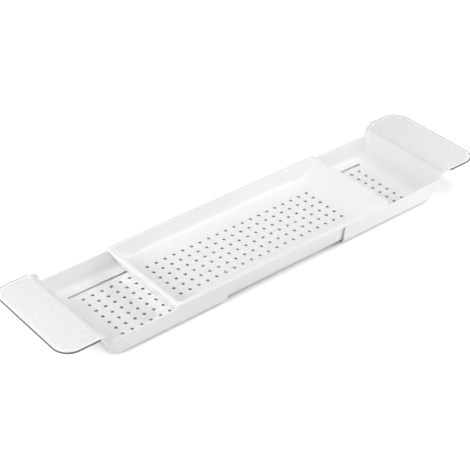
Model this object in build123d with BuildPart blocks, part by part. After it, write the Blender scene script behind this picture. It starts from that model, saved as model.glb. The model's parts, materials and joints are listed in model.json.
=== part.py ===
from build123d import *
import os
from math import cos, radians, tan

os.makedirs("parts", exist_ok=True)

# An extending bath caddy: a centre tray with an end tray under each side of it.
# Both end trays are drawn fully out. All sizes are in millimetres, angles in degrees.
# X runs along the caddy, Y across it and Z up. The origin is on the ground under its middle,
# and the ground is the underside of the guide studs' heads.

# Walls and running gaps
wall = 2.4
floor_thickness = 1.6
slide_gap = 0.3
end_play = 0.3
travel = 100.0
overrun = 1.0

# Guide studs: head, neck in the slot, and shank in the centre tray's boss
head_thickness = 2.5
head_diameter = 9.0
head_rounding = 0.8
neck_diameter = 4.4
shank_diameter = 2.6
shank_length = 7.0
shank_gap = 0.05
shank_tip_gap = 0.5

# Where the studs stand in from the centre tray's ends, and the slots from the end trays' sides
stud_inset = 23.6
slot_inset = 21.9
slot_width = 4.8

# End trays. closed_gap is what is left between them when both are pushed in
end_tray_width = 166.8
end_tray_depth = 31.7
closed_gap = 13.0
slot_to_end_wall = 17.4
end_wall_lean = 22.5
side_draft = 6.0
side_radius = 8.0
end_radius = 14.0
rim_sweep_radius = 10.0
cheek_lead = 4.0
cheek_radius = 2.5
cheek_crest_radius = 7.0

# Wings, which rest on the rims of the tub. Their lift is above the end tray's own rim, and
# each reach is taken from the end wall's foot
wing_lift = 14.8
wing_reach = 82.3
wing_overhang = 3.1
wing_corner_radius = 23.8
wing_bend_radius = 9.0
wing_root_radius = 5.0
flare_inset = 2.4
flare_start_reach = 6.7
flare_length = 28.0
panel_border = 4.0
panel_recess = 0.4
panel_corner = 6.0

# Grips round the wings
grip_start_reach = 26.7
grip_side = 1.4
grip_sole = 1.2
grip_reveal = 0.1
grip_rounding = 0.2
grip_chamfer = 1.8

# Centre tray
centre_length = 385.6
centre_rim_overhang = 1.1
centre_rim_width = 6.0
centre_rim_depth = 5.0
centre_rim_thickness = 2.3
centre_rim_lip = 2.2
lip_slit_inset = 4.6
lip_slit_width = 1.6
centre_rim_corner = 6.0
centre_rim_rounding = 1.0
centre_floor_rise = 12.1
centre_side_draft = 8.0
centre_end_lean = 27.5
centre_side_radius = 6.0
centre_end_radius = 28.0
skirt_lift = 0.5
side_skirt_lift = 5.7
end_skirt_return = 14.3
skirt_corner_radius = 8.0
skirt_edge_radius = 1.6
skirt_hollow_rise = 16.0
boss_diameter = 8.4
rib_inset = 43.2
rib_width = 1.6
rib_proud = 1.0
rib_foot_proud = 3.0
rib_top_rise = 24.8

# Drain holes: one pitch for all three trays. The last four are the least distances that a
# hole's middle keeps, from the slots' middles, the end walls' feet and the inner ends
hole_pitch = 15.5
hole_diameter = 5.1
centre_grid_shift = -7.0
hole_to_slot = 13.0
hole_to_centre_end = 21.0
hole_to_end_wall = 32.8
hole_to_inner_end = 8.0

# Levels above the ground, worked out from the sizes above
end_floor_under = head_thickness + slide_gap
end_floor_level = end_floor_under + floor_thickness
end_rim_level = end_floor_level + end_tray_depth
wing_level = end_rim_level + wing_lift
wing_under = wing_level - wall
grip_under = wing_under - grip_sole
boss_level = end_floor_level + slide_gap
centre_floor_level = end_floor_level + centre_floor_rise
centre_floor_under = centre_floor_level - floor_thickness
lip_level = end_rim_level + slide_gap
centre_rim_level = lip_level + centre_rim_depth
centre_rim_under = centre_rim_level - centre_rim_thickness

# Places in plan: all follow from the centre tray's length, the studs in it and their travel
centre_half_length = centre_length / 2
centre_half_width = end_tray_width / 2 + centre_rim_overhang
stud_reach = centre_half_length - stud_inset
slot_offset = end_tray_width / 2 - slot_inset
slot_inner_end = stud_reach - end_play - slot_width / 2
slot_outer_end = stud_reach + travel + end_play + slot_width / 2
end_tray_inner_end = travel + closed_gap / 2
end_wall_foot = slot_outer_end + slot_to_end_wall
flare_start = end_wall_foot + flare_start_reach
flare_end = flare_start + flare_length
grip_start = end_wall_foot + grip_start_reach
wing_end = end_wall_foot + wing_reach
wing_half_width = end_tray_width / 2 + wing_overhang
stud_places = [(side * stud_reach, end * slot_offset) for side in (-1, 1) for end in (-1, 1)]


def slope(angle):
    """How far a face that leans by this angle moves sideways for each unit of height."""
    return tan(radians(angle))


def across(thickness, angle):
    """The sideways width of a wall of this thickness whose face leans by this angle."""
    return thickness / cos(radians(angle))


def basin(low, high, near, far, half_width, foot_radius, edge_radius):
    """A box that widens upwards, with its leaning ends' feet rounded first and its flanks after.

    near, far and half_width give the box's reach and half width at each height.
    """
    open_end = near(low) == near(high)
    with BuildPart() as body:
        with BuildSketch(Plane.YZ):
            Polygon((-half_width(low), low), (half_width(low), low),
                    (half_width(high), high), (-half_width(high), high), align=None)
        extrude(amount=far(high) + overrun, both=True)
        with BuildSketch(Plane.XZ):
            Polygon((near(low), low), (far(low), low), (far(high), high), (near(high), high), align=None)
        extrude(amount=half_width(high) + overrun, both=True, mode=Mode.INTERSECT)
        if foot_radius > 0:
            feet = body.faces().sort_by(Axis.Z)[0].edges().filter_by(Axis.Y).sort_by(Axis.X)
            fillet(feet[1:] if open_end else feet, foot_radius)
        if edge_radius > 0:
            flanks = body.faces().sort_by(Axis.Y)
            edges = ShapeList()
            for flank in (flanks[0], flanks[-1]):
                lower = flank.edges().sort_by(Axis.Z)[:-1]
                edges += lower.sort_by(Axis.X)[1:] if open_end else lower
            fillet(edges, edge_radius)
    return body.part


def end_wall_at(height, thickness=0):
    """The end wall's inner face at one height, or the face at this thickness behind it."""
    lean = slope(end_wall_lean) * (height - end_floor_level)
    return end_wall_foot + lean + across(thickness, end_wall_lean)


def end_side_at(height, thickness=0):
    """Half the end tray's width at one height, less this thickness."""
    lean = slope(side_draft) * (height - end_rim_level)
    return end_tray_width / 2 + lean - across(thickness, side_draft)


def centre_side_at(height, thickness=0):
    """Half the centre tray's inner width at one height, with this thickness added."""
    lean = slope(centre_side_draft) * (height - centre_rim_level)
    return centre_half_width - centre_rim_width + lean + across(thickness, centre_side_draft)


def centre_end_at(height, inset=0):
    """The reach of the centre tray's outer end face at one height, less this width."""
    lean = slope(centre_end_lean) * (height - centre_rim_level)
    return centre_half_length + lean - inset


# How many drain holes fit, and where the end trays' grid has its middle
end_rows = 1 + int(2 * (slot_offset - hole_to_slot) / hole_pitch)
end_grid_outer = end_wall_foot - hole_to_end_wall
end_columns = 1 + int((end_grid_outer - end_tray_inner_end - hole_to_inner_end) / hole_pitch)
end_grid_centre = end_grid_outer - (end_columns - 1) * hole_pitch / 2
centre_rows = end_rows - 1
centre_floor_reach = centre_end_at(centre_floor_level, centre_rim_width)
centre_columns = 1 + int(2 * (centre_floor_reach - hole_to_centre_end) / hole_pitch)


def hole_grid(plane, columns, rows):
    """Round holes on the common pitch, centred on the plane's origin."""
    with BuildSketch(plane) as holes:
        with GridLocations(hole_pitch, hole_pitch, columns, rows):
            Circle(hole_diameter / 2)
    return holes.sketch


def wing_plan(height, margin=0, start=flare_start, start_radius=0):
    """The wing seen from above, grown by a margin and cut off square at its start."""
    half = wing_half_width + margin
    root = end_tray_width / 2 - flare_inset + margin
    tip = wing_end + margin
    with BuildSketch(Plane.XY.offset(height)) as plan:
        with BuildLine():
            TangentArc((flare_end, half), (flare_start, root), tangent=(-1, 0))
            Polyline((flare_end, half), (tip, half), (tip, -half), (flare_end, -half))
            TangentArc((flare_end, -half), (flare_start, -root), tangent=(-1, 0))
            Line((flare_start, root), (flare_start, -root))
        make_face()
        fillet(plan.vertices().group_by(Axis.X)[-1], wing_corner_radius + margin)
        if start > flare_start:
            with Locations(((flare_start + start) / 2 - overrun, 0)):
                Rectangle(start - flare_start + 2 * overrun, 2 * (half + overrun), mode=Mode.SUBTRACT)
        if start_radius > 0:
            fillet(plan.vertices().group_by(Axis.X)[0], start_radius)
    return plan.sketch


def space_above(lead, sweep_radius, crest_radius):
    """All that stands above the end tray's rim, its rising edge and the wing, seen from the side.

    The rising edge leans with the end wall's inner face and keeps this lead on it.
    """
    start, finish, top = end_tray_inner_end - overrun, wing_end + overrun, wing_level + 2 * overrun
    foot = (end_wall_at(end_rim_level) - lead, end_rim_level)
    crest = (end_wall_at(wing_level) - lead, wing_level)
    with BuildSketch(Plane.XZ) as above:
        Polygon((start, end_rim_level), foot, crest, (finish, wing_level), (finish, top), (start, top),
                align=None)
        fillet(above.vertices().sort_by_distance(foot)[0], sweep_radius)
        fillet(above.vertices().sort_by_distance(crest)[0], crest_radius)
    return above.sketch


# Right end tray: an open-ended basin whose end wall rises to the wing
with BuildPart() as right_end_tray:
    add(basin(end_floor_under, wing_level + overrun, lambda z: end_tray_inner_end,
              lambda z: end_wall_at(z, wall), end_side_at, end_radius + wall, side_radius + wall))
    extrude(wing_plan(wing_under), amount=wall + overrun)
    underside = right_end_tray.faces().filter_by_position(Axis.Z, wing_under, wing_under)[0]
    root_edges = underside.edges().filter_by_position(Axis.X, flare_start, end_wall_at(wing_level, wall))
    fillet(root_edges, wing_root_radius)
    add(basin(end_floor_level, wing_level + overrun, lambda z: end_tray_inner_end - overrun,
              end_wall_at, lambda z: end_side_at(z, wall), end_radius, side_radius), mode=Mode.SUBTRACT)
    # The side walls rise to the wing as cheeks ahead of the end wall, which bends over between them
    extrude(space_above(cheek_lead, cheek_radius, cheek_crest_radius), amount=wing_half_width + overrun,
            both=True, mode=Mode.SUBTRACT)
    extrude(space_above(0, rim_sweep_radius, wing_bend_radius), amount=end_side_at(end_rim_level, wall),
            both=True, mode=Mode.SUBTRACT)
    # Shallow seat for the wing's rough top
    panel_start = end_wall_at(wing_level) + wing_bend_radius * slope((90 - end_wall_lean) / 2)
    extrude(wing_plan(wing_level - panel_recess, -panel_border, panel_start, panel_corner),
            amount=panel_recess + overrun, mode=Mode.SUBTRACT)
    # Drain holes and the two slots that the guide studs run in
    extrude(hole_grid(Plane((end_grid_centre, 0, end_floor_under)), end_columns, end_rows),
            amount=floor_thickness + overrun, mode=Mode.SUBTRACT)
    with BuildSketch(Plane(((slot_inner_end + slot_outer_end) / 2, 0, end_floor_under - overrun))):
        with Locations((0, -slot_offset), (0, slot_offset)):
            SlotOverall(slot_outer_end - slot_inner_end, slot_width)
    extrude(amount=floor_thickness + 2 * overrun, mode=Mode.SUBTRACT)
right_end_tray.part.label = "right_end_tray"

# Left end tray: the same moulding turned round
with BuildPart() as left_end_tray:
    mirror(right_end_tray.part, about=Plane.YZ)
left_end_tray.part.label = "left_end_tray"

# Right grip: a sole under the wing with a low side round the wing's edge
with BuildPart() as right_grip:
    extrude(wing_plan(grip_under, grip_side, grip_start), amount=wing_level - grip_reveal - grip_under)
    outline = (Axis.X, grip_start + overrun, wing_end + wall)
    fillet(right_grip.faces().sort_by(Axis.Z)[-1].edges().filter_by_position(*outline), grip_rounding)
    chamfer(right_grip.faces().sort_by(Axis.Z)[0].edges().filter_by_position(*outline), grip_chamfer)
    extrude(wing_plan(wing_under), amount=wall, mode=Mode.SUBTRACT)
right_grip.part.label = "right_grip"

with BuildPart() as left_grip:
    mirror(right_grip.part, about=Plane.YZ)
left_grip.part.label = "left_grip"

# Hollow under the centre tray's floor, kept a wall's thickness clear of its inside and its outside
with BuildPart() as underside_hollow:
    add(basin(-overrun, end_floor_level + skirt_hollow_rise,
              lambda z: -centre_end_at(z, across(wall, centre_end_lean)),
              lambda z: centre_end_at(z, across(wall, centre_end_lean)), centre_side_at, 0, 0))
    wall_inset = centre_rim_width - across(wall, centre_end_lean)
    add(basin(centre_floor_under, centre_rim_level,
              lambda z: -centre_end_at(z, wall_inset), lambda z: centre_end_at(z, wall_inset),
              lambda z: centre_side_at(z, wall), centre_end_radius + wall, centre_side_radius + wall),
        mode=Mode.SUBTRACT)
    # The bosses stand in it, each from the floor above it down to its foot
    with BuildSketch():
        with Locations(*stud_places):
            Circle(boss_diameter / 2)
    extrude(amount=centre_rim_level, mode=Mode.SUBTRACT)

# Centre tray: a basin with a wide rim, skirts under its floor and a boss for each guide stud
with BuildPart() as centre_tray:
    add(basin(end_floor_level + skirt_lift, centre_rim_under, lambda z: -centre_end_at(z),
              centre_end_at, lambda z: centre_side_at(z, wall), 0, 0))
    fillet(centre_tray.faces().sort_by(Axis.Z)[0].edges().filter_by(Axis.X), skirt_corner_radius)
    for end_face in (centre_tray.faces().sort_by(Axis.X)[0], centre_tray.faces().sort_by(Axis.X)[-1]):
        fillet(end_face.edges().sort_by(Axis.Z)[:-1], skirt_edge_radius)
    with BuildSketch(Plane.XY.offset(centre_rim_under)) as rim_plan:
        Rectangle(centre_length, 2 * centre_half_width)
        fillet(rim_plan.vertices(), centre_rim_corner)
    extrude(amount=centre_rim_thickness)
    with BuildSketch(Plane.XY.offset(lip_level)) as lip_plan:
        Rectangle(centre_length, 2 * centre_half_width)
        fillet(lip_plan.vertices(), centre_rim_corner)
        Rectangle(centre_length, 2 * (centre_half_width - centre_rim_lip), mode=Mode.SUBTRACT)
        # A slit near each end frees the lip of the rim's round corner
        with GridLocations(2 * (centre_half_length - lip_slit_inset), 2 * centre_half_width, 2, 2):
            Rectangle(lip_slit_width, 2 * centre_rim_lip, mode=Mode.SUBTRACT)
    extrude(amount=centre_rim_under - lip_level)
    add(basin(centre_floor_level, centre_rim_level + overrun,
              lambda z: -centre_end_at(z, centre_rim_width), lambda z: centre_end_at(z, centre_rim_width),
              centre_side_at, centre_end_radius, centre_side_radius), mode=Mode.SUBTRACT)
    fillet(centre_tray.faces().sort_by(Axis.Z)[-1].outer_wire().edges(), centre_rim_rounding)
    fillet(centre_tray.faces().sort_by(Axis.Z)[-1].inner_wires()[0].edges(), centre_rim_rounding)
    add(underside_hollow.part, mode=Mode.SUBTRACT)
    # The side skirts stand higher than the end skirts, which return round the corners
    side_skirt_reach = centre_end_at(end_floor_level + skirt_lift) - end_skirt_return
    with BuildSketch():
        Rectangle(2 * side_skirt_reach, 2 * centre_half_width)
    extrude(amount=end_floor_level + side_skirt_lift, mode=Mode.SUBTRACT)
    # The bosses' feet, and the bore in each boss for its stud's shank
    with BuildSketch(Plane.XY.offset(boss_level)):
        with Locations(*stud_places):
            Circle(boss_diameter / 2)
    extrude(amount=centre_floor_under - boss_level)
    with BuildSketch(Plane.XY.offset(boss_level)):
        with Locations(*stud_places):
            Circle(shank_diameter / 2 + shank_gap)
    extrude(amount=shank_length + shank_tip_gap, mode=Mode.SUBTRACT)
    # Short upright ribs on the inside of the side walls
    rib_foot = centre_floor_under + floor_thickness / 2
    rib_top = end_floor_level + rib_top_rise
    for end in (-1, 1):
        for side in (-1, 1):
            with BuildSketch(Plane.YZ.offset(end * (centre_half_length - rib_inset) - rib_width / 2)):
                Polygon((side * (centre_side_at(rib_foot) - rib_foot_proud), rib_foot),
                        (side * (centre_side_at(rib_foot) + wall / 2), rib_foot),
                        (side * (centre_side_at(rib_top) + wall / 2), rib_top),
                        (side * (centre_side_at(rib_top) - rib_proud), rib_top), align=None)
            extrude(amount=rib_width)
    extrude(hole_grid(Plane((centre_grid_shift, 0, centre_floor_under)), centre_columns, centre_rows),
            amount=floor_thickness + overrun, mode=Mode.SUBTRACT)
centre_tray.part.label = "centre_tray"


def guide_stud(x, y):
    """A stud pressed up into the centre tray's boss through the slot below it."""
    with BuildPart() as stud:
        with BuildSketch(Plane((x, y, 0))):
            Circle(head_diameter / 2)
        extrude(amount=head_thickness)
        fillet(stud.edges().sort_by(Axis.Z)[0], head_rounding)
        with BuildSketch(Plane((x, y, head_thickness))):
            Circle(neck_diameter / 2)
        extrude(amount=boss_level - head_thickness)
        with BuildSketch(Plane((x, y, boss_level))):
            Circle(shank_diameter / 2)
        extrude(amount=shank_length)
    return stud.part


studs = {"guide_stud_left_front": (-1, -1), "guide_stud_left_back": (-1, 1),
         "guide_stud_right_front": (1, -1), "guide_stud_right_back": (1, 1)}
pieces = [centre_tray.part, left_end_tray.part, right_end_tray.part, left_grip.part, right_grip.part]
for name, (end, side) in studs.items():
    stud = guide_stud(end * stud_reach, side * slot_offset)
    stud.label = name
    pieces.append(stud)

for piece in pieces:
    export_step(piece, f"parts/{piece.label}.step")
    print(piece.label, round(piece.volume), piece.is_valid)
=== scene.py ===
# %% [markdown]
# # An extending bath caddy
# The caddy is three white mouldings: a centre tray, and an end tray that slides in and out under
# each side of it. The wing at each outer end rests on the rim of a bath, and a soft grey grip
# round the wing keeps it from slipping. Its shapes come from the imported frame, where every piece
# is already in its place, in metres. This lesson gives those pieces their finish, adds the rough
# panels on the wings, and lights and frames them as in a catalogue picture.

# %% Load the frame
import bpy
import json
import math
import numpy as np
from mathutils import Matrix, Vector


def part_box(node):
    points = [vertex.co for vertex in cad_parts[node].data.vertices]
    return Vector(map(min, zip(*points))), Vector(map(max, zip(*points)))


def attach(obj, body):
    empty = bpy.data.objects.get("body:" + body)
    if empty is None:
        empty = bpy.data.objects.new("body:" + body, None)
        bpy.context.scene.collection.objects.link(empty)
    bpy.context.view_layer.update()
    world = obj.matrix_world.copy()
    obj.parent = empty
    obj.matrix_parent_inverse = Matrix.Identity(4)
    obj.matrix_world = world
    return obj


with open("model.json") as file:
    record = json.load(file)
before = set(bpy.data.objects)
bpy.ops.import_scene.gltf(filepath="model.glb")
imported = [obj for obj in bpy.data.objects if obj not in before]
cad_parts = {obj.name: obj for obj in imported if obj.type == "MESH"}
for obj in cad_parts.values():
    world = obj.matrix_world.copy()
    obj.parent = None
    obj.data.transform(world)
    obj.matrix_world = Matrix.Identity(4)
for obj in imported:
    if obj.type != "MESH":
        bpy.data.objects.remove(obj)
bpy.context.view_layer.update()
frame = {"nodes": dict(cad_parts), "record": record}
scene = bpy.context.scene
scene.view_settings.view_transform = "Standard"
MM = 0.001
print("nodes:", ", ".join(sorted(frame["nodes"])))

# %% [markdown]
# ## Camera
# The picture was taken from the front left, from well above, with a long lens: the caddy's far
# end looks nearly as large as its near end. The grid of drain holes is a ruler on the object, so
# the camera was worked out from it: its place, the way it looks, and the angle that it takes in.

# %% Camera
CAMERA_PLACE = (-1.0266, -1.2313, 1.1561)
CAMERA_AZIMUTH = math.radians(-39.02)
CAMERA_ELEVATION = math.radians(35.25)
LENS_MM = 105.47
SENSOR_MM = 36.0
NEAREST_SEEN, FARTHEST_SEEN = 0.05, 60.0

camera_data = bpy.data.cameras.new("camera")
camera_data.lens = LENS_MM
camera_data.sensor_width = SENSOR_MM
camera_data.clip_start = NEAREST_SEEN
camera_data.clip_end = FARTHEST_SEEN
camera = bpy.data.objects.new("camera", camera_data)
camera.location = CAMERA_PLACE
camera.rotation_euler = (math.pi / 2 - CAMERA_ELEVATION, 0.0, CAMERA_AZIMUTH)
scene.collection.objects.link(camera)
scene.camera = camera
print("camera stands", round(Vector(CAMERA_PLACE).length, 3), "m from the caddy's middle")

# %% [markdown]
# ## Materials that share their effects
# All the hard pieces are injection moulded, so they share one fine grain, which the steel of the
# mould leaves on the plastic, and one faint cloudiness, where the melt cooled unevenly. The two
# wings share a rough, mottled field. Each effect is a node group that is built once and then
# placed in a material with that material's own values.


# %% Helpers for node groups
def new_group(name, inputs, outputs):
    """A shader node group; inputs are (name, socket type, default), outputs (name, socket type)."""
    group = bpy.data.node_groups.new(name, "ShaderNodeTree")
    for label, kind, default in inputs:
        socket = group.interface.new_socket(name=label, in_out="INPUT", socket_type=kind)
        if default is not None:
            socket.default_value = default
    for label, kind in outputs:
        group.interface.new_socket(name=label, in_out="OUTPUT", socket_type=kind)
    entry = group.nodes.new("NodeGroupInput")
    leaving = group.nodes.new("NodeGroupOutput")
    print("group:", name)
    return group, entry, leaving


def feed(tree, socket, value):
    """Link another node's output to a socket, or set the socket to a number or a colour."""
    if isinstance(value, bpy.types.NodeSocket):
        tree.links.new(value, socket)
    else:
        socket.default_value = value


def math_node(tree, operation, first, second):
    """A Math node's value, with each of its two inputs linked or set."""
    node = tree.nodes.new("ShaderNodeMath")
    node.operation = operation
    feed(tree, node.inputs[0], first)
    feed(tree, node.inputs[1], second)
    return node.outputs[0]


def noise(tree, vector, scale, detail, roughness=0.5):
    """A noise texture's value at a vector, with its scale linked or set."""
    node = tree.nodes.new("ShaderNodeTexNoise")
    node.inputs["Detail"].default_value = detail
    node.inputs["Roughness"].default_value = roughness
    feed(tree, node.inputs["Scale"], scale)
    tree.links.new(vector, node.inputs["Vector"])
    return node.outputs["Fac"]


def mix_colour(tree, factor, first, second):
    """A Mix node's colour: the first where the factor is zero, the second where it is one."""
    node = tree.nodes.new("ShaderNodeMix")
    node.data_type = "RGBA"
    tree.links.new(factor, node.inputs["Factor"])
    feed(tree, node.inputs["A"], first)
    feed(tree, node.inputs["B"], second)
    return node.outputs["Result"]


def ramp(tree, value, low, high):
    """Zero where the value is below low, one where it is above high, and a smooth step between."""
    node = tree.nodes.new("ShaderNodeMapRange")
    node.interpolation_type = "SMOOTHSTEP"
    tree.links.new(value, node.inputs["Value"])
    feed(tree, node.inputs["From Min"], low)
    feed(tree, node.inputs["From Max"], high)
    return node.outputs["Result"]


# %% [markdown]
# ### Mould grain
# The cavity of the mould is spark eroded, which gives the plastic a fine, even grain, and the wall
# itself is never quite flat. Real bumps this small would need millions of faces, so two sizes of
# noise give them as a height for a Bump node. The fine one also shifts the gloss a little.

# %% Group: mould grain
WAVES_PER_METRE = 22.0
GRAIN_ROUGHNESS = 0.12

grain_group, grain_in, grain_out = new_group(
    "mould_grain",
    [("Vector", "NodeSocketVector", None), ("Grains per metre", "NodeSocketFloat", 1400.0),
     ("Waves", "NodeSocketFloat", 0.5)],
    [("Height", "NodeSocketFloat"), ("Roughness shift", "NodeSocketFloat")])
fine = noise(grain_group, grain_in.outputs["Vector"], grain_in.outputs["Grains per metre"], detail=2.0)
broad = noise(grain_group, grain_in.outputs["Vector"], WAVES_PER_METRE, detail=1.0)
wave = math_node(grain_group, "MULTIPLY", broad, grain_in.outputs["Waves"])
grain_group.links.new(math_node(grain_group, "ADD", fine, wave), grain_out.inputs["Height"])
centred = math_node(grain_group, "SUBTRACT", fine, 0.5)
shift = math_node(grain_group, "MULTIPLY", centred, GRAIN_ROUGHNESS)
grain_group.links.new(shift, grain_out.inputs["Roughness shift"])

# %% [markdown]
# ### Melt cloudiness
# Moulded plastic isn't one flat colour. Broad clouds of a slightly deeper one drift through it,
# with a few specks, which are the noise where it rises above a high limit.

# %% Group: melt cloudiness
SPECKS_PER_METRE = 900.0
SPECK_LIMIT = 0.74

cloud_group, cloud_in, cloud_out = new_group(
    "melt_cloudiness",
    [("Vector", "NodeSocketVector", None), ("Colour", "NodeSocketColor", (0.86, 0.86, 0.86, 1.0)),
     ("Deeper colour", "NodeSocketColor", (0.80, 0.80, 0.80, 1.0)),
     ("Clouds per metre", "NodeSocketFloat", 14.0), ("Specks", "NodeSocketFloat", 0.1)],
    [("Colour", "NodeSocketColor")])
clouds = noise(cloud_group, cloud_in.outputs["Vector"], cloud_in.outputs["Clouds per metre"], detail=3.0)
speck_noise = noise(cloud_group, cloud_in.outputs["Vector"], SPECKS_PER_METRE, detail=0.0)
specks = math_node(cloud_group, "GREATER_THAN", speck_noise, SPECK_LIMIT)
speck_part = math_node(cloud_group, "MULTIPLY", specks, cloud_in.outputs["Specks"])
cloud_share = math_node(cloud_group, "ADD", clouds, speck_part)
clouded = mix_colour(cloud_group, cloud_share, cloud_in.outputs["Colour"],
                     cloud_in.outputs["Deeper colour"])
cloud_group.links.new(clouded, cloud_out.inputs["Colour"])

# %% [markdown]
# ### Rough field
# The wing's rough field goes on over the wing's bend and fades out below it. It could be a second
# material on those faces, but then its edge would be hard. So the group gives a mask: it rises
# between two levels, and ends at a distance from the caddy's middle, where a real panel takes over.

# %% Group: rough field
BLOTCHES_PER_METRE = 240.0
BLOTCH_ROUGHNESS = 0.6

field_group, field_in, field_out = new_group(
    "rough_field",
    [("Vector", "NodeSocketVector", None), ("Pebbles per metre", "NodeSocketFloat", 420.0),
     ("Start level", "NodeSocketFloat", 0.0), ("Full level", "NodeSocketFloat", 0.001),
     ("Reach", "NodeSocketFloat", 1.0)],
    [("Shade", "NodeSocketFloat"), ("Height", "NodeSocketFloat"), ("Mask", "NodeSocketFloat")])
split = field_group.nodes.new("ShaderNodeSeparateXYZ")
field_group.links.new(field_in.outputs["Vector"], split.inputs["Vector"])
rise = ramp(field_group, split.outputs["Z"], field_in.outputs["Start level"],
            field_in.outputs["Full level"])
away = math_node(field_group, "ABSOLUTE", split.outputs["X"], 0.0)
within = math_node(field_group, "LESS_THAN", away, field_in.outputs["Reach"])
field_mask = math_node(field_group, "MULTIPLY", rise, within)
pebble_noise = noise(field_group, field_in.outputs["Vector"], field_in.outputs["Pebbles per metre"],
                     detail=1.0)
blotches = noise(field_group, field_in.outputs["Vector"], BLOTCHES_PER_METRE, detail=2.0,
                 roughness=BLOTCH_ROUGHNESS)
field_group.links.new(blotches, field_out.inputs["Shade"])
field_group.links.new(pebble_noise, field_out.inputs["Height"])
field_group.links.new(field_mask, field_out.inputs["Mask"])

# %% [markdown]
# ### From the groups to a finish
# The Principled shader stays in each material, and the groups feed it. White polypropylene lets
# light in a little way before it scatters back, so a short subsurface depth softens its shading.

# %% A moulded finish from the shared groups
MELT_DEPTH = (1.5 * MM, 1.5 * MM, 1.5 * MM)
FIELD_PALE = (0.885, 0.885, 0.885)
FIELD_DULL = (0.735, 0.735, 0.735)
FIELD_DEPTH = 0.3 * MM


def place_group(tree, group, vector, **values):
    """A group node at a vector, its other inputs set by name, where underscores are spaces."""
    node = tree.nodes.new("ShaderNodeGroup")
    node.node_tree = group
    tree.links.new(vector, node.inputs["Vector"])
    for label, value in values.items():
        node.inputs[label.replace("_", " ")].default_value = value
    return node


def moulded(name, colour, deeper, roughness, grains, bump, specks=0.1, subsurface=0.0,
            specular=0.5, field=None):
    """A Principled material whose colour, roughness and bump come from the shared groups.

    field is None, or where the rough field is: the two levels between which it sets in, and how
    far from the caddy's middle it ends.
    """
    material = bpy.data.materials.new(name)
    material.use_nodes = True
    tree = material.node_tree
    shader = tree.nodes["Principled BSDF"]
    place = tree.nodes.new("ShaderNodeTexCoord").outputs["Object"]
    grain = place_group(tree, grain_group, place, Grains_per_metre=grains)
    cloud = place_group(tree, cloud_group, place, Colour=(*colour, 1.0), Deeper_colour=(*deeper, 1.0),
                        Specks=specks)
    tree.links.new(math_node(tree, "ADD", grain.outputs["Roughness shift"], roughness),
                   shader.inputs["Roughness"])
    skin = cloud.outputs["Colour"]
    height = math_node(tree, "MULTIPLY", grain.outputs["Height"], bump)
    if field:
        start, full, reach = field
        rough = place_group(tree, field_group, place, Start_level=start, Full_level=full, Reach=reach)
        mottled = mix_colour(tree, rough.outputs["Shade"], (*FIELD_PALE, 1.0), (*FIELD_DULL, 1.0))
        skin = mix_colour(tree, rough.outputs["Mask"], skin, mottled)
        pebbled = math_node(tree, "MULTIPLY", rough.outputs["Height"], FIELD_DEPTH)
        pebbled = math_node(tree, "MULTIPLY", pebbled, rough.outputs["Mask"])
        height = math_node(tree, "ADD", height, pebbled)
    tree.links.new(skin, shader.inputs["Base Color"])
    relief = tree.nodes.new("ShaderNodeBump")
    relief.inputs["Strength"].default_value = 1.0
    relief.inputs["Distance"].default_value = 1.0
    tree.links.new(height, relief.inputs["Height"])
    tree.links.new(relief.outputs["Normal"], shader.inputs["Normal"])
    shader.inputs["Specular IOR Level"].default_value = specular
    shader.inputs["Subsurface Weight"].default_value = subsurface
    shader.inputs["Subsurface Radius"].default_value = MELT_DEPTH
    shader.inputs["Subsurface Scale"].default_value = 1.0
    print("finish:", name)
    return material


# %% [markdown]
# ## The finishes
# The trays are white polypropylene, satin and slightly milky. The grips are a grey elastomer,
# duller and darker. The guide studs are glossier, because they are made to slide. On the trays the
# rough field sets in over the wing's bend and ends where the wing's panel starts; the panel's own
# plastic has it everywhere.

# %% Finishes
PANEL_START = 314.6 * MM
BEND_FIELD = (42.5 * MM, 47.5 * MM, PANEL_START)
FIELD_EVERYWHERE = (0.0, 1.0 * MM, 1.0)

white_plastic = moulded("white_plastic", (0.92, 0.92, 0.92), (0.90, 0.90, 0.905), roughness=0.45,
                        grains=1600.0, bump=0.02 * MM, subsurface=0.4, field=BEND_FIELD)
rough_plastic = moulded("rough_plastic", FIELD_PALE, FIELD_DULL, roughness=0.50,
                        grains=2400.0, bump=0.03 * MM, field=FIELD_EVERYWHERE)
grey_grip = moulded("grey_grip", (0.17, 0.17, 0.175), (0.145, 0.145, 0.15), roughness=0.68,
                    grains=2000.0, bump=0.05 * MM, specks=0.3, specular=0.3)
stud_plastic = moulded("stud_plastic", (0.80, 0.80, 0.79), (0.77, 0.77, 0.76), roughness=0.25,
                       grains=1200.0, bump=0.01 * MM)

# %% Finishes on the pieces
FINISH_OF_SLOT = {"white_plastic": white_plastic, "grey_grip": grey_grip, "stud_plastic": stud_plastic}

for part in frame["record"]["subparts"]:
    node = frame["nodes"][part["node"]]
    for slot in node.material_slots:
        slot.material = FINISH_OF_SLOT[part["material_slot"]]
    print(part["node"], "takes", part["material_slot"])

# %% [markdown]
# ## The rough panels on the wings
# Each wing's top has a shallow seat that holds a rough, pebbled field, so that a wet hand or a
# bottle doesn't slide. A bump in the material would do from far away, but its edge and shadow
# would be missing close by, so it is a real surface. Its plan is worked out row by row: at each
# place along the wing, the panel is as wide as the wing's outline allows, less a border.

# %% Sizes of the wings, in metres
wing_end, wing_half, wing_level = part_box("right_end_tray")[1]
FLARE_START = 296.0 * MM
FLARE_END = 324.0 * MM
FLARE_START_HALF = 81.0 * MM
WING_CORNER = 23.8 * MM
START_CORNER = 6.0 * MM
PANEL_BORDER = 4.0 * MM
PANEL_RECESS = 0.4 * MM
PANEL_GAP = 0.15 * MM
PANEL_GROOVE = 0.6 * MM
PANEL_INSET = PANEL_BORDER + PANEL_GROOVE
print("wing ends at", round(wing_end, 4), "and is", round(2 * wing_half, 4), "wide")


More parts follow.
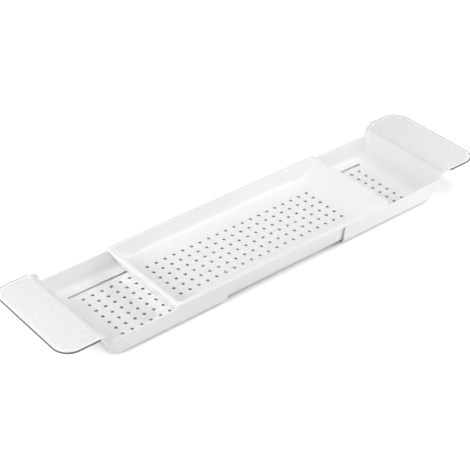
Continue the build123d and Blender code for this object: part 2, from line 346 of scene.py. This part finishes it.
# %% Panel outline
def arc_depth(radius, distance):
    """How far a circle's arc falls back at a distance from its top, with none before the top.

    The depth is the radius less the square root of radius squared minus distance squared.
    """
    reach = np.clip(distance, 0.0, radius)
    return radius - np.sqrt(radius ** 2 - reach ** 2)


def panel_half_width(x):
    """Half the panel's width at each x: the wing's half width less an inset and three arcs' depths.

    The first arc goes through the two ends of the wing's flare, so its radius is the flare's length
    squared plus its depth squared, over twice its depth. The others round the panel's two ends.
    """
    length, depth = FLARE_END - FLARE_START, wing_half - FLARE_START_HALF
    flare_radius = (length ** 2 + depth ** 2) / (2 * depth)
    end, end_radius = wing_end - PANEL_INSET, WING_CORNER - PANEL_INSET
    return (wing_half - PANEL_INSET - arc_depth(flare_radius, FLARE_END - x)
            - arc_depth(START_CORNER, PANEL_START + PANEL_GAP + START_CORNER - x)
            - arc_depth(end_radius, x - (end - end_radius)))


# %% Pebbles
PEBBLE_SPREAD = (0.1, 0.9)
PEBBLES_BEFORE_REPEAT = 512
TOO_FAR = 9.0


def pebbles(x, y, pitch, seed):
    """Rounded pebbles, one to each square of this pitch and moved off its middle at random.

    The height is one minus the square of the distance to the nearest pebble's middle, in pitches.
    """
    cell_x, cell_y = np.floor(x / pitch).astype(int), np.floor(y / pitch).astype(int)
    jitter = np.random.default_rng(seed).uniform(
        *PEBBLE_SPREAD, (PEBBLES_BEFORE_REPEAT, PEBBLES_BEFORE_REPEAT, 2))
    nearest = np.full(x.shape, TOO_FAR)
    for step_x in (-1, 0, 1):
        for step_y in (-1, 0, 1):
            own_x, own_y = cell_x + step_x, cell_y + step_y
            middle = jitter[own_x % PEBBLES_BEFORE_REPEAT, own_y % PEBBLES_BEFORE_REPEAT]
            distance_x = x / pitch - own_x - middle[..., 0]
            distance_y = y / pitch - own_y - middle[..., 1]
            nearest = np.minimum(nearest, distance_x ** 2 + distance_y ** 2)
    return np.clip(1.0 - nearest, 0.0, 1.0)


# %% Panel mesh
PEBBLE_PITCH = 2.2 * MM
PEBBLE_SEED = 7
PEBBLE_FOOT = 0.12 * MM
PEBBLE_BELOW_RIM = 0.02 * MM
PEBBLE_FADE = 1.2 * MM
ROWS, COLUMNS = 110, 270


def rough_panel(name, side):
    """A closed slab in the wing's seat: a pebbled top, a rim that drops to the seat, and a flat base.

    The top is a grid: x runs along the wing, y is the half width at x times a share from -1 to 1,
    and z is a foot level plus the pebbles' height, which fades to nothing at the panel's sides and
    outer end. side is 1 for the right wing and -1 for the left one, which is its mirror image.
    """
    along = np.linspace(PANEL_START + PANEL_GAP, wing_end - PANEL_INSET, ROWS)
    across = np.linspace(-1.0, 1.0, COLUMNS)
    half = panel_half_width(along)
    x = np.repeat(along[:, None], COLUMNS, axis=1)
    y = half[:, None] * across[None, :]
    seat = wing_level - PANEL_RECESS
    low, high = seat + PEBBLE_FOOT, wing_level - PEBBLE_BELOW_RIM
    from_edge = np.minimum(half[:, None] - np.abs(y), along[-1] - x)
    fade = np.clip(from_edge / PEBBLE_FADE, 0.0, 1.0)
    z = low + (high - low) * pebbles(x * side, y, PEBBLE_PITCH, PEBBLE_SEED) * fade
    top = np.stack([x * side, y, z], axis=-1).reshape(-1, 3)

    index = np.arange(ROWS * COLUMNS).reshape(ROWS, COLUMNS)
    quads = np.stack([index[:-1, :-1], index[1:, :-1], index[1:, 1:], index[:-1, 1:]], axis=-1)
    quads = quads.reshape(-1, 4)
    ring = np.concatenate([index[0, :-1], index[:-1, -1], index[-1, :0:-1], index[:0:-1, 0]])
    foot = top[ring].copy()
    foot[:, 2] = seat
    under = len(top) + np.arange(len(ring))
    walls = np.stack([ring, np.roll(ring, -1), np.roll(under, -1), under], axis=-1)
    faces = [tuple(face) for face in np.concatenate([quads, walls]).tolist()]
    faces.append(tuple(under.tolist()))
    if side < 0:
        faces = [face[::-1] for face in faces]

    mesh = bpy.data.meshes.new(name)
    mesh.from_pydata(np.concatenate([top, foot]).tolist(), [], faces)
    mesh.polygons.foreach_set("use_smooth", np.arange(len(mesh.polygons)) < len(quads))
    mesh.update()
    mesh.materials.append(rough_plastic)
    panel = bpy.data.objects.new(name, mesh)
    scene.collection.objects.link(panel)
    print(name, len(mesh.polygons), "faces")
    return panel


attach(rough_panel("right_wing_panel", 1), "right_end")
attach(rough_panel("left_wing_panel", -1), "left_end")

# %% [markdown]
# ## Floor
# The caddy stands on white paper. A floor lit to full white would flood the caddy from below, so
# the paper is pale grey to the light, and only the camera, a mirror or a glass sees it as white,
# with an added glow. Under the caddy and close to it the glow would fill the contact shadow, the
# drain holes and the slots. So the glow grows with how open the paper is to the sky, which an
# Ambient Occlusion node gives: the dark paper there is partly the lamps' own shadow and partly
# painted shade. Far away, where no lamp reaches, more glow takes over.


# %% What the camera sees
def light_path_sees(tree):
    """One where the ray comes from the camera, a mirror or a glass, and nothing elsewhere."""
    path = tree.nodes.new("ShaderNodeLightPath")
    sees = math_node(tree, "MAXIMUM", path.outputs["Is Camera Ray"], path.outputs["Is Glossy Ray"])
    return math_node(tree, "MAXIMUM", sees, path.outputs["Is Transmission Ray"])


# %% The paper and its glow
WHITE = (1.0, 1.0, 1.0, 1.0)
PAPER_TO_LIGHT = (0.85, 0.85, 0.85, 1.0)
NEAR_GLOW, FAR_GLOW = 0.45, 0.55
FAR_START, FAR_END = 0.8, 2.5
CONTACT_DISTANCE = 0.06
CONTACT_RAYS = 16
CONTACT_DARK, CONTACT_CLEAR = 0.12, 0.40

floor_material = bpy.data.materials.new("white_paper")
floor_material.use_nodes = True
floor_tree = floor_material.node_tree
paper = floor_tree.nodes["Principled BSDF"]
paper_seen = light_path_sees(floor_tree)
paper_colour = mix_colour(floor_tree, paper_seen, PAPER_TO_LIGHT, WHITE)
floor_tree.links.new(paper_colour, paper.inputs["Base Color"])
paper.inputs["Roughness"].default_value = 1.0
paper.inputs["Specular IOR Level"].default_value = 0.0
paper.inputs["Emission Color"].default_value = WHITE

# Painted shade: the glow fades where the Ambient Occlusion node finds the paper covered by the caddy.
contact = floor_tree.nodes.new("ShaderNodeAmbientOcclusion")
contact.samples = CONTACT_RAYS
contact.inputs["Distance"].default_value = CONTACT_DISTANCE
uncovered = ramp(floor_tree, contact.outputs["AO"], CONTACT_DARK, CONTACT_CLEAR)
near_glow = math_node(floor_tree, "MULTIPLY", uncovered, NEAR_GLOW)
from_middle = floor_tree.nodes.new("ShaderNodeVectorMath")
from_middle.operation = "LENGTH"
floor_place = floor_tree.nodes.new("ShaderNodeTexCoord").outputs["Object"]
floor_tree.links.new(floor_place, from_middle.inputs[0])
far = ramp(floor_tree, from_middle.outputs["Value"], FAR_START, FAR_END)
far_glow = math_node(floor_tree, "MULTIPLY", far, FAR_GLOW)
all_glow = math_node(floor_tree, "ADD", near_glow, far_glow)
floor_tree.links.new(math_node(floor_tree, "MULTIPLY", paper_seen, all_glow),
                     paper.inputs["Emission Strength"])

# %% The floor itself
FLOOR_REACH = 12.0
FLOOR_LEVEL = -0.2 * MM

floor_mesh = bpy.data.meshes.new("floor")
corners = [(FLOOR_REACH * x, FLOOR_REACH * y, FLOOR_LEVEL) for x, y in ((-1, -1), (1, -1), (1, 1), (-1, 1))]
floor_mesh.from_pydata(corners, [], [(0, 1, 2, 3)])
floor_mesh.materials.append(floor_material)
floor = bpy.data.objects.new("floor", floor_mesh)
scene.collection.objects.link(floor)
print("floor:", 2 * FLOOR_REACH, "m square")

# %% [markdown]
# ## Sky and lamps
# A catalogue picture of a white object has soft light from all round, and only small differences
# between its sides. A weak white sky gives the light from all round, and is full white to the
# camera. Seven soft lamps then give each side of the trays and each wing its own tone.

# %% Sky
SKY_STRENGTH = 0.305

world = bpy.data.worlds.new("white_studio")
scene.world = world
world.use_nodes = True
sky_tree = world.node_tree
sky = sky_tree.nodes["Background"]
sky.inputs["Color"].default_value = WHITE
extra = math_node(sky_tree, "MULTIPLY", light_path_sees(sky_tree), 1.0 - SKY_STRENGTH)
sky_tree.links.new(math_node(sky_tree, "ADD", extra, SKY_STRENGTH), sky.inputs["Strength"])
print("sky:", SKY_STRENGTH, "to the caddy, 1 to the camera")


# %% Lamps
def soft_lamp(name, place, target, size, watts):
    """A square area lamp at a place, turned to face a target."""
    data = bpy.data.lights.new(name, "AREA")
    data.shape = "SQUARE"
    data.size = size
    data.energy = watts
    lamp = bpy.data.objects.new(name, data)
    lamp.location = place
    lamp.rotation_euler = (Vector(target) - Vector(place)).to_track_quat("-Z", "Y").to_euler()
    scene.collection.objects.link(lamp)
    print(name, watts, "W")


soft_lamp("right_top_lamp", place=(0.6, -0.1, 0.9), target=(0.3, 0.0, 0.0), size=0.5, watts=3.4)
soft_lamp("front_lamp", place=(0.3, -2.0, 0.9), target=(0.0, 0.0, 0.0), size=1.4, watts=5.6)
soft_lamp("front_right_lamp", place=(1.6, -1.6, 1.2), target=(0.1, 0.0, 0.0), size=1.6, watts=9.7)
soft_lamp("near_right_lamp", place=(0.55, -0.55, 0.15), target=(0.28, -0.08, 0.02), size=0.4,
          watts=0.75)
soft_lamp("low_left_lamp", place=(-1.1, 0.15, 0.40), target=(-0.2, 0.0, 0.0), size=0.6, watts=5.2)
soft_lamp("high_left_lamp", place=(-1.9, 0.4, 1.1), target=(0.0, 0.0, 0.0), size=1.1, watts=2.0)
soft_lamp("left_top_lamp", place=(-0.8, -0.1, 0.8), target=(-0.25, 0.0, 0.0), size=0.5, watts=2.6)
